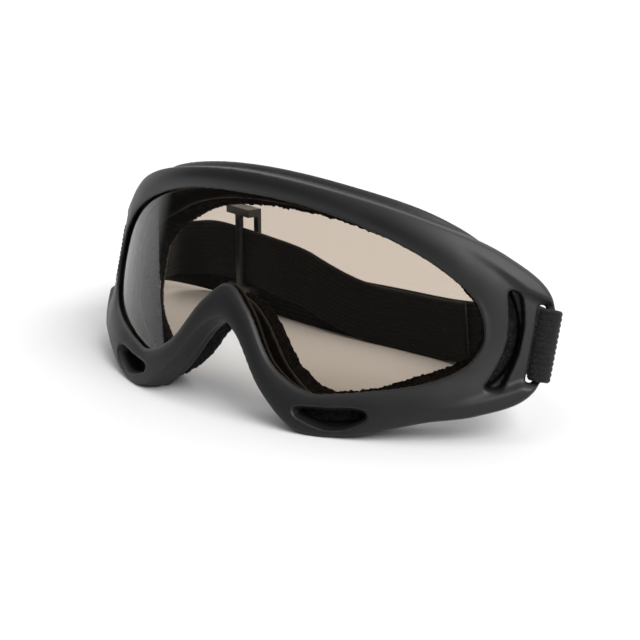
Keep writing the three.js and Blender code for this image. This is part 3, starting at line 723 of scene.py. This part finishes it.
def pad_profile(front, thick, near, far):
    """A pad on the wall's inner face: from w = front, thick deep, between near and far off the wall."""
    corners = [(0.0, near), (-0.25, near), (-0.75, near), (-1.0, near), (-1.0, 0.35), (-1.0, 0.65),
               (-1.0, far), (-0.75, far), (-0.25, far), (0.0, far), (0.0, 0.65), (0.0, 0.35)]

    def profile(at):
        layers = []
        for depth, out in corners:
            distance = near + (far - near) * out if out in (0.35, 0.65) else out
            w = front + depth * thick
            layers.append((off_wall(at, w, distance), np.full(at.depth.shape, w)))
        return layers
    return profile


STRIP_FRONT, STRIP_BACK = -8.6, -12.9
VENT_FOAMS = [
    ("top", pad_profile(STRIP_FRONT, STRIP_FRONT - STRIP_BACK, 0.7, 3.1), 0.25, 2.0),
    ("ear", pad_profile(PAD_FRONT, PAD_THICK, 0.7, 6.5), 3.75, 6.25),
    ("lower", pad_profile(PAD_FRONT, PAD_THICK, 0.7, 5.5), 9.25, 11.5),
]
for kind, profile, start, end in VENT_FOAMS:
    for side, (t0, t1) in (("left", (start, end)), ("right", (RING - end, RING - start))):
        pad = ring_object(f"vent_pad_{kind}_{side}", profile, 8, FOAM_MATERIAL, t0, t1)
        subdivide(pad, 1)
        roughen(pad, 0.8, 0.2, 4)
        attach(pad, "mask")
        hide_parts(f"vent_foam_{kind}_{side}")

# ---- strap ----
STRAP_LOW = STRAP_WIDTH / 2 + 0.1
STRAP_ROUTE = [
    (70.6, HINGE_Y, HINGE_Z), (63.8, 62.3, 18.8), (50, 70.5, 14.5), (28, 76.5, 10.8), (4, 78, STRAP_LOW),
    (-22, 77.5, STRAP_LOW), (-46, 80, STRAP_LOW), (-64, 84, STRAP_LOW), (-82, 88, STRAP_LOW),
    (-97, 89, 11), (-105, 82, 13.8), (-102.5, 72, 16.8), (-94.5, 62.5, 19.4), (-87, HINGE_Y, HINGE_Z),
]
RETURN_RAISE = 10
RETURN_SPACING = 5.6
RETURN_END = 0.2
LOOP_INNER, LOOP_OUTER = SLOT_OUTER - GAP, POST_OUTER + GAP
LOOP_FRONT, LOOP_BACK = POST_FRONT + GAP, -PLATE - GAP
LEG_OFFSET = STRAP_THICK / 2 + GAP / 2
RIBS = 13
UP_LEANED = np.array([0, math.sin(LEAN), math.cos(LEAN)])

route_t = np.linspace(0, len(STRAP_ROUTE) - 1, 4000)
route_points = catmull(np.array(STRAP_ROUTE, float), False, route_t) + SHIFT
route_length = np.concatenate([[0], np.cumsum(np.linalg.norm(np.diff(route_points, axis=0), axis=1))])
route_share = route_length / route_length[-1]


def strap_line(shares, place):
    """Centre points and up directions of a band along the route."""
    shares = np.asarray(shares, float)
    point = np.stack([np.interp(shares, route_share, route_points[:, k]) for k in range(3)], 1)
    ahead = np.stack([np.interp(shares + 0.002, route_share, route_points[:, k]) for k in range(3)], 1)
    behind = np.stack([np.interp(shares - 0.002, route_share, route_points[:, k]) for k in range(3)], 1)
    tangent = ahead - behind
    tangent /= np.linalg.norm(tangent, axis=1)[:, None]
    lean = (LEAN * smoothstep(STRAP_LOW, HINGE_Z, point[:, 2]))[:, None]
    up = np.concatenate([0 * lean, np.sin(lean), np.cos(lean)], 1)
    up -= tangent * (up * tangent).sum(1)[:, None]
    up /= np.linalg.norm(up, axis=1)[:, None]
    inward = np.cross(up, tangent)
    offset, raised = place(shares)
    centre = point + inward * offset[:, None]
    centre[:, 2] += raised
    return centre, up


def main_place(share):
    """The band runs on the route, and moves over to its own leg of each ear loop."""
    offset = -LEG_OFFSET * smoothstep(0.9, 0.98, share) + LEG_OFFSET * (1 - smoothstep(0.02, 0.1, share))
    return offset, 0 * share


def return_place(share):
    spread = (RETURN_SPACING - 2.2) * smoothstep(0.5, 0.59, share) * (1 - smoothstep(0.71, 0.85, share))
    offset = 2.2 + spread - 1.25 * smoothstep(0.9, 0.98, share)
    raised = RETURN_RAISE * smoothstep(0.36, 0.6, share) * (1 - smoothstep(0.7, 0.93, share))
    return offset, raised


def loop_line(side, swing, from_leg, to_leg):
    """Centre line of the band from one leg behind the post, round the post, to the other leg."""
    centre = np.array([(LOOP_INNER + LOOP_OUTER) / 2, (LOOP_FRONT + LOOP_BACK) / 2])
    half_u = (LOOP_OUTER - LOOP_INNER) / 2 + STRAP_THICK / 2
    half_w = (LOOP_FRONT - LOOP_BACK) / 2 + STRAP_THICK / 2
    heading = np.array([math.sin(swing), -math.cos(swing)])
    across = np.array([heading[1], -heading[0]])
    corner = 1.5
    points = []
    for su, sw, start in ((1, 1, 0), (-1, 1, 90), (-1, -1, 180), (1, -1, 270)):
        for i in range(7):
            angle = math.radians(start + 15 * i)
            points.append(centre + [su * (half_u - corner) + corner * math.cos(angle),
                                    sw * (half_w - corner) + corner * math.sin(angle)])
    neck = half_w + 3.4
    for sign in (1, -1):
        points.append(centre + heading * neck + across * sign * LEG_OFFSET)
    points = np.array(points)
    hull = convex_hull(points)
    first = points[-2] if from_leg > 0 else points[-1]
    last = points[-1] if from_leg > 0 else points[-2]
    start = int(np.argmin(np.linalg.norm(hull - first, axis=1)))
    hull = np.roll(hull, -start, 0)
    if np.linalg.norm(hull[1] - last) < 1e-6:
        hull = np.vstack([hull[:1], hull[1:][::-1]])
    reach = [(neck + extra) for extra in to_leg]
    lead = [centre + heading * distance + across * from_leg * LEG_OFFSET for distance in reach[::-1]]
    tail = [centre + heading * distance - across * from_leg * LEG_OFFSET for distance in reach]
    flat = np.vstack([lead, hull, tail])
    return wrap(flat[:, 0] * side, SLOT_MIDDLE, flat[:, 1])


def convex_hull(points):
    """Convex outline of flat points, in order."""
    order = sorted(map(tuple, np.round(points, 9)))

    def half(sequence):
        chain = []
        for p in sequence:
            while len(chain) > 1 and ((chain[-1][0] - chain[-2][0]) * (p[1] - chain[-2][1])
                                      - (chain[-1][1] - chain[-2][1]) * (p[0] - chain[-2][0])) <= 0:
                chain.pop()
            chain.append(p)
        return chain[:-1]
    return np.array(half(order) + half(order[::-1]))


def resample(points, up, step, smoothing):
    length = np.concatenate([[0], np.cumsum(np.linalg.norm(np.diff(points, axis=0), axis=1))])
    even = np.linspace(0, length[-1], int(length[-1] / step) + 1)
    points = np.stack([np.interp(even, length, points[:, k]) for k in range(3)], 1)
    up = np.stack([np.interp(even, length, up[:, k]) for k in range(3)], 1)
    for _ in range(smoothing):
        points[1:-1] = (points[:-2] + 2 * points[1:-1] + points[2:]) / 4
    return points, up


def band_object(name, points, up, first_length=0.0, ribs=RIBS):
    """Ribbed webbing along a centre line: lengthwise ribs on both faces, rounded edges."""
    count = len(points)
    tangent = np.gradient(points, axis=0)
    tangent /= np.linalg.norm(tangent, axis=1)[:, None]
    up = up - tangent * (up * tangent).sum(1)[:, None]
    up /= np.linalg.norm(up, axis=1)[:, None]
    inward = np.cross(up, tangent)
    length = first_length + np.concatenate([[0], np.cumsum(np.linalg.norm(np.diff(points, axis=0), axis=1))])
    across = np.linspace(-1, 1, ribs * 6 + 1)
    ridge = np.abs(np.cos(across * ribs * math.pi / 2)) ** 0.7
    half = STRAP_THICK / 2 - 0.28 * (1 - ridge)
    half *= 1 - 0.55 * np.abs(across) ** 24
    profile = [(a, h) for a, h in zip(across, half)] + [(a, -h) for a, h in zip(across[::-1], half[::-1])]
    size = len(profile)
    verts = np.empty((count, size, 3))
    uv = np.empty((count, size, 2))
    for j, (a, h) in enumerate(profile):
        verts[:, j] = points + up * (a * STRAP_WIDTH / 2) + inward * h
        uv[:, j, 0] = length
        uv[:, j, 1] = a * STRAP_WIDTH / 2
    obj = new_object(
        name, verts.reshape(-1, 3), grid_faces(count, size, False), WEBBING_MATERIAL, uv=uv.reshape(-1, 2))
    return fix_normals(obj)


LEFT_SWING = math.radians(4)
RIGHT_SWING = math.radians(55)
MAIN_SHARES = np.linspace(0.01, 0.99, 500)
main_points, main_up = strap_line(MAIN_SHARES, main_place)
return_points, return_up = strap_line(np.linspace(0.99, RETURN_END, 400), return_place)
left_points = loop_line(1, LEFT_SWING, 1, (2.0, 5.0, 8.0))
right_points = loop_line(-1, RIGHT_SWING, 1, (1.5, 3.5))


def nearer_first(line, target):
    """The line turned so that it ends near the target."""
    gap_end = np.linalg.norm(line[-1] - target)
    gap_start = np.linalg.norm(line[0] - target)
    return line if gap_end <= gap_start else line[::-1]


left_points = nearer_first(left_points, main_points[0])
right_points = nearer_first(right_points, return_points[0])
whole = np.vstack([left_points, main_points, right_points, return_points])
whole_up = np.vstack([
    np.tile(UP_LEANED, (len(left_points), 1)), main_up,
    np.tile(UP_LEANED, (len(right_points), 1)), return_up,
])
whole, whole_up = resample(whole, whole_up, 0.8, 3)

# The one band is cut into pieces where the CAD has separate bodies; the cuts meet exactly.
behind_hinge = whole[:, 1] > HINGE_Y + SHIFT[1] - 6
turns = np.flatnonzero(np.diff(behind_hinge.astype(int)))
PIECES = ["webbing_loop_left", "webbing_main", "webbing_loop_right", "webbing_return"]
REPLACED = [
    ["ear_loop_left"], ["strap_left", "strap_rear", "strap_right"],
    ["ear_loop_right"], ["strap_return_rear", "strap_return_side"],
]
if behind_hinge[0]:
    turns = turns[1:]
bounds_of = [0, *turns[:3].tolist(), len(whole) - 1]
done = 0.0
for name, nodes, first, last in zip(PIECES, REPLACED, bounds_of[:-1], bounds_of[1:]):
    segment = whole[first:last + 1]
    piece = band_object(name, segment, whole_up[first:last + 1], done)
    done += np.linalg.norm(np.diff(segment, axis=0), axis=1).sum()
    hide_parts(*nodes)
    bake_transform(piece)
print("webbing cut from", round(done, 1), "mm; pieces at", bounds_of)


# ---- slider: the CAD ladder with moulded, rounded edges ----
def rounded_copy(node, name, voxel, smoothing, material_used):
    source = frame["nodes"][node]
    mesh = source.data.copy()
    mesh.transform(source.matrix_world)
    obj = bpy.data.objects.new(name, mesh)
    bpy.context.scene.collection.objects.link(obj)
    mesh.materials.clear()
    mesh.materials.append(material_used)
    return remesh(obj, voxel, smoothing)


slider_piece = rounded_copy("strap_slider", "slider_body", 0.22, 4, SLIDER_MATERIAL)
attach(slider_piece, "slider")
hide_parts("strap_slider")


# ---- bar tacks: rows of zigzag thread ----
def bar_tack(node, name, stitches=17, thread=0.28):
    verts = np.array([vertex.co for vertex in frame["nodes"][node].data.vertices]) / MM
    middle = verts.mean(0)
    _, _, axes = np.linalg.svd(verts - middle)
    long_axis, short_axis, normal = axes
    length = np.ptp((verts - middle) @ long_axis)
    width = np.ptp((verts - middle) @ short_axis)
    curve = bpy.data.curves.new(name, "CURVE")
    curve.dimensions = "3D"
    curve.bevel_depth = thread * MM
    curve.bevel_resolution = 3
    curve.use_fill_caps = True
    line = curve.splines.new("POLY")
    line.points.add(stitches * 2 - 1)
    for i in range(stitches * 2):
        along = (i / (stitches * 2 - 1) - 0.5) * (length - 2 * thread)
        sideways = (0.5 - i % 2) * (width - 2 * thread)
        spot = middle + long_axis * along + short_axis * sideways
        line.points[i].co = (*(spot * MM), 1)
    made = bpy.data.objects.new(name, curve)
    bpy.context.scene.collection.objects.link(made)
    bpy.context.view_layer.update()
    graph = bpy.context.evaluated_depsgraph_get()
    mesh = bpy.data.meshes.new_from_object(made.evaluated_get(graph))
    bpy.data.objects.remove(made, do_unlink=True)
    piece = bpy.data.objects.new(name, mesh)
    bpy.context.scene.collection.objects.link(piece)
    mesh.materials.clear()
    mesh.materials.append(THREAD_MATERIAL)
    mesh.polygons.foreach_set("use_smooth", [True] * len(mesh.polygons))
    return piece


for side in ("left", "right"):
    tack = bar_tack(f"bar_tack_{side}", f"stitching_{side}")
    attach(tack, "mask")
    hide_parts(f"bar_tack_{side}")


# ---- camera ----
MASK_CENTRE = Vector(((SHIFT * MM)[0], (SHIFT * MM)[1], LIFT * MM))
camera_data = bpy.data.cameras.new("camera")
camera_data.lens = 84.4
camera_data.sensor_width = 36
camera_data.clip_start = 0.01
camera = bpy.data.objects.new("camera", camera_data)
bpy.context.scene.collection.objects.link(camera)
camera.location = MASK_CENTRE + Vector((0.2902, -0.3023, 0.1095))
aim = MASK_CENTRE + Vector((0.02226, 0.01505, -0.00995))
camera.rotation_mode = "QUATERNION"
camera.rotation_quaternion = (aim - camera.location).to_track_quat("-Z", "Y")
bpy.context.scene.camera = camera

# ---- floor, light and backdrop ----
floor_material, _, floor_shader = material("floor", (0.66, 0.66, 0.665), 0.9, Specular_IOR_Level=0.1)
floor = new_object(
    "floor", [(-6000, -3000, 0), (6000, -3000, 0), (6000, 6000, 0), (-6000, 6000, 0)], [(0, 1, 2, 3)],
    floor_material, smooth=False)


def soft_light(name, place, aim_at, size, power):
    data = bpy.data.lights.new(name, "AREA")
    data.shape = "RECTANGLE"
    data.size, data.size_y = size
    data.energy = power
    light = bpy.data.objects.new(name, data)
    bpy.context.scene.collection.objects.link(light)
    light.location = place
    light.rotation_mode = "QUATERNION"
    light.rotation_quaternion = (Vector(aim_at) - Vector(place)).to_track_quat("-Z", "Y")
    return light


sun_data = bpy.data.lights.new("key", "SUN")
sun_data.angle = math.radians(38)
sun_data.energy = 2.3
sun = bpy.data.objects.new("key", sun_data)
bpy.context.scene.collection.objects.link(sun)
sun.rotation_mode = "QUATERNION"
sun.rotation_quaternion = Vector((-0.72, 0.08, -0.69)).to_track_quat("-Z", "Y")
soft_light("right_panel", (0.62, -0.30, 0.34), (0.06, -0.02, 0.04), (0.30, 0.42), 1.1)

# The studio by azimuth, from the rear round the left, the front and the right: pale walls behind
# and a dark room in front.
AZIMUTHS = [
    (0.0, [0.95]), (0.25, [0.9]), (0.275, [0.05]), (0.5, [0.02]), (0.62, [0.04]), (0.72, [0.4]),
    (0.85, [0.95]),
]
world = bpy.data.worlds.new("studio")
bpy.context.scene.world = world
world.use_nodes = True
world_tree = world.node_tree
world_tree.nodes.clear()
direction = add_node(world_tree, "ShaderNodeTexCoord").outputs["Generated"]
parts = world_tree.nodes.new("ShaderNodeSeparateXYZ")
world_tree.links.new(direction, parts.inputs["Vector"])
forward = math_node(world_tree, "MULTIPLY", parts.outputs["Y"], -1.0)
azimuth = math_node(world_tree, "ARCTAN2", parts.outputs["X"], forward)
turn = math_node(world_tree, "ADD", math_node(world_tree, "DIVIDE", azimuth, 2 * math.pi), 0.5)
around = ramp(world_tree, turn, AZIMUTHS)
above = ramp(world_tree, parts.outputs["Z"], [(0.3, [0.0]), (0.75, [0.9])])
total = world_tree.nodes.new("ShaderNodeMix")
total.data_type = "RGBA"
total.blend_type = "ADD"
total.inputs["Factor"].default_value = 1
world_tree.links.new(around, total.inputs["A"])
world_tree.links.new(above, total.inputs["B"])
indirect = world_tree.nodes.new("ShaderNodeBackground")
world_tree.links.new(total.outputs["Result"], indirect.inputs["Color"])
seen = world_tree.nodes.new("ShaderNodeBackground")
seen.inputs["Color"].default_value = (1, 1, 1, 1)
path = world_tree.nodes.new("ShaderNodeLightPath")
both = world_tree.nodes.new("ShaderNodeMixShader")
world_output = world_tree.nodes.new("ShaderNodeOutputWorld")
world_tree.links.new(path.outputs["Is Camera Ray"], both.inputs["Fac"])
world_tree.links.new(indirect.outputs["Background"], both.inputs[1])
world_tree.links.new(seen.outputs["Background"], both.inputs[2])
world_tree.links.new(both.outputs["Shader"], world_output.inputs["Surface"])
bpy.context.scene.view_settings.view_transform = "Standard"
